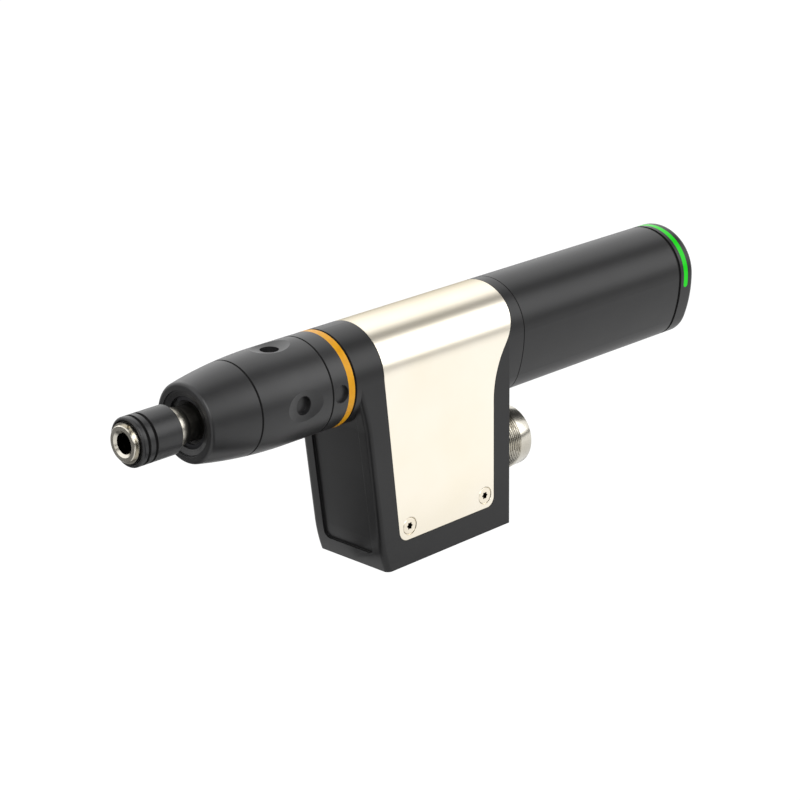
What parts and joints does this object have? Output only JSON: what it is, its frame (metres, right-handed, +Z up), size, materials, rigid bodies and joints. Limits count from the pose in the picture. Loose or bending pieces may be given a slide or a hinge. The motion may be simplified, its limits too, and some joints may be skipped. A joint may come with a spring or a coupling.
{
  "type": "robot screwdriving spindle",
  "caption": "Electric screwdriving spindle with a quick-release bit holder, tapered nose, deep frame foot, saddle cover and a long rear drive tube with a light strip.",
  "frame": {"origin": "where the round guide of the bit socket starts, on the spindle's axis", "axes": "+X along the spindle from the bit socket to the end cap, +Z up, the foot hangs along -Z"},
  "size_m": [0.2756, 0.035, 0.0901],
  "materials": {
    "dark_body": "satin dark grey hard anodising",
    "cover_nickel": "satin champagne nickel",
    "bright_nickel": "bright nickel plating",
    "steel": "ground",
    "spring_steel": "blued spring steel",
    "ball_steel": "polished",
    "orange_ring": "satin",
    "green_light": "clear light guide, lit green",
    "black_rubber": "matt",
    "black_plastic": "matt",
    "inner_aluminium": "machined",
    "core_steel": "stacked sheets",
    "copper": "enamelled wire",
    "magnet": "nickel plated",
    "board_green": "solder resist",
    "gold_contact": "gold plated"
  },
  "bodies": {
    "housing": {"nose_cone": "dark_body", "mouth_circlip": "spring_steel", "spindle_seal": "black_rubber", "bearing_spacer": "steel", "bearing_nut": "steel", "spindle_bearing_outer_rings": "steel", "spindle_bearing_balls": "ball_steel", "gear_housing": "dark_body", "ring_gear": "steel", "housing_snap_ring": "spring_steel", "lock_ring": "dark_body", "identification_ring": "orange_ring", "torque_transducer": "inner_aluminium", "main_frame": "dark_body", "cover_plate": "cover_nickel", "cover_screws": "cover_nickel", "motor_front_flange": "inner_aluminium", "motor_rear_flange": "inner_aluminium", "motor_bearing_outer_rings": "steel", "motor_bearing_balls": "ball_steel", "stator_core": "core_steel", "stator_windings": "copper", "encoder_board": "board_green", "rear_tube": "dark_body", "end_cap": "dark_body", "cap_seal": "black_rubber", "light_guide": "green_light", "light_board": "board_green", "power_board": "board_green", "capacitors": "black_plastic", "board_spacers": "steel", "drive_board": "board_green", "interface_board": "board_green", "connector_shell": "bright_nickel", "connector_gasket": "black_rubber", "connector_nut": "bright_nickel", "connector_insert": "black_plastic", "connector_contacts": "gold_contact"},
    "rotor": {"rotor_shaft": "steel", "rotor_magnets": "magnet", "encoder_magnet": "magnet", "motor_bearing_inner_rings": "steel", "sun_gear_1": "steel"},
    "first_carrier": {"carrier_1": "steel", "sun_gear_2": "steel"},
    "spindle": {"carrier_2": "steel", "output_spindle": "steel", "bit_holder": "bright_nickel", "holder_snap_ring": "bright_nickel", "detent_balls": "ball_steel", "sleeve_spring": "spring_steel", "spindle_bearing_inner_rings": "steel"},
    "planet_1a": {"planet_1a": "steel"},
    "planet_1b": {"planet_1b": "steel"},
    "planet_1c": {"planet_1c": "steel"},
    "planet_2a": {"planet_2a": "steel"},
    "planet_2b": {"planet_2b": "steel"},
    "planet_2c": {"planet_2c": "steel"},
    "sleeve": {"release_sleeve": "dark_body"}
  },
  "joints": [
    {"name": "rotor_spin", "type": "hinge", "parent": "housing", "child": "rotor", "pos_m": [0.1, 0, 0], "axis": [1, 0, 0], "continuous": true},
    {"name": "first_carrier_spin", "type": "hinge", "parent": "housing", "child": "first_carrier", "pos_m": [0.068, 0, 0], "axis": [1, 0, 0], "continuous": true},
    {"name": "spindle_spin", "type": "hinge", "parent": "housing", "child": "spindle", "pos_m": [0.04, 0, 0], "axis": [1, 0, 0], "continuous": true},
    {"name": "planet_1a_spin", "type": "hinge", "parent": "first_carrier", "child": "planet_1a", "pos_m": [0.073, 0.0072, 0], "axis": [1, 0, 0], "continuous": true},
    {"name": "planet_1b_spin", "type": "hinge", "parent": "first_carrier", "child": "planet_1b", "pos_m": [0.073, -0.0036, 0.00624], "axis": [1, 0, 0], "continuous": true},
    {"name": "planet_1c_spin", "type": "hinge", "parent": "first_carrier", "child": "planet_1c", "pos_m": [0.073, -0.0036, -0.00624], "axis": [1, 0, 0], "continuous": true},
    {"name": "planet_2a_spin", "type": "hinge", "parent": "spindle", "child": "planet_2a", "pos_m": [0.06, 0.0072, 0], "axis": [1, 0, 0], "continuous": true},
    {"name": "planet_2b_spin", "type": "hinge", "parent": "spindle", "child": "planet_2b", "pos_m": [0.06, -0.0036, 0.00624], "axis": [1, 0, 0], "continuous": true},
    {"name": "planet_2c_spin", "type": "hinge", "parent": "spindle", "child": "planet_2c", "pos_m": [0.06, -0.0036, -0.00624], "axis": [1, 0, 0], "continuous": true},
    {"name": "sleeve_slide", "type": "slide", "parent": "spindle", "child": "sleeve", "axis": [1, 0, 0], "range_m": [0, 0.0025], "stiffness_N_per_m": 1000, "springref_m": -0.004, "deforming": ["sleeve_spring"]}
  ],
  "couplings": [
    {"joint": "first_carrier_spin", "follows": "rotor_spin", "ratio": 0.25},
    {"joint": "spindle_spin", "follows": "rotor_spin", "ratio": 0.0625},
    {"joint": "planet_1a_spin", "follows": "rotor_spin", "ratio": -0.75},
    {"joint": "planet_1b_spin", "follows": "rotor_spin", "ratio": -0.75},
    {"joint": "planet_1c_spin", "follows": "rotor_spin", "ratio": -0.75},
    {"joint": "planet_2a_spin", "follows": "rotor_spin", "ratio": -0.1875},
    {"joint": "planet_2b_spin", "follows": "rotor_spin", "ratio": -0.1875},
    {"joint": "planet_2c_spin", "follows": "rotor_spin", "ratio": -0.1875}
  ]
}
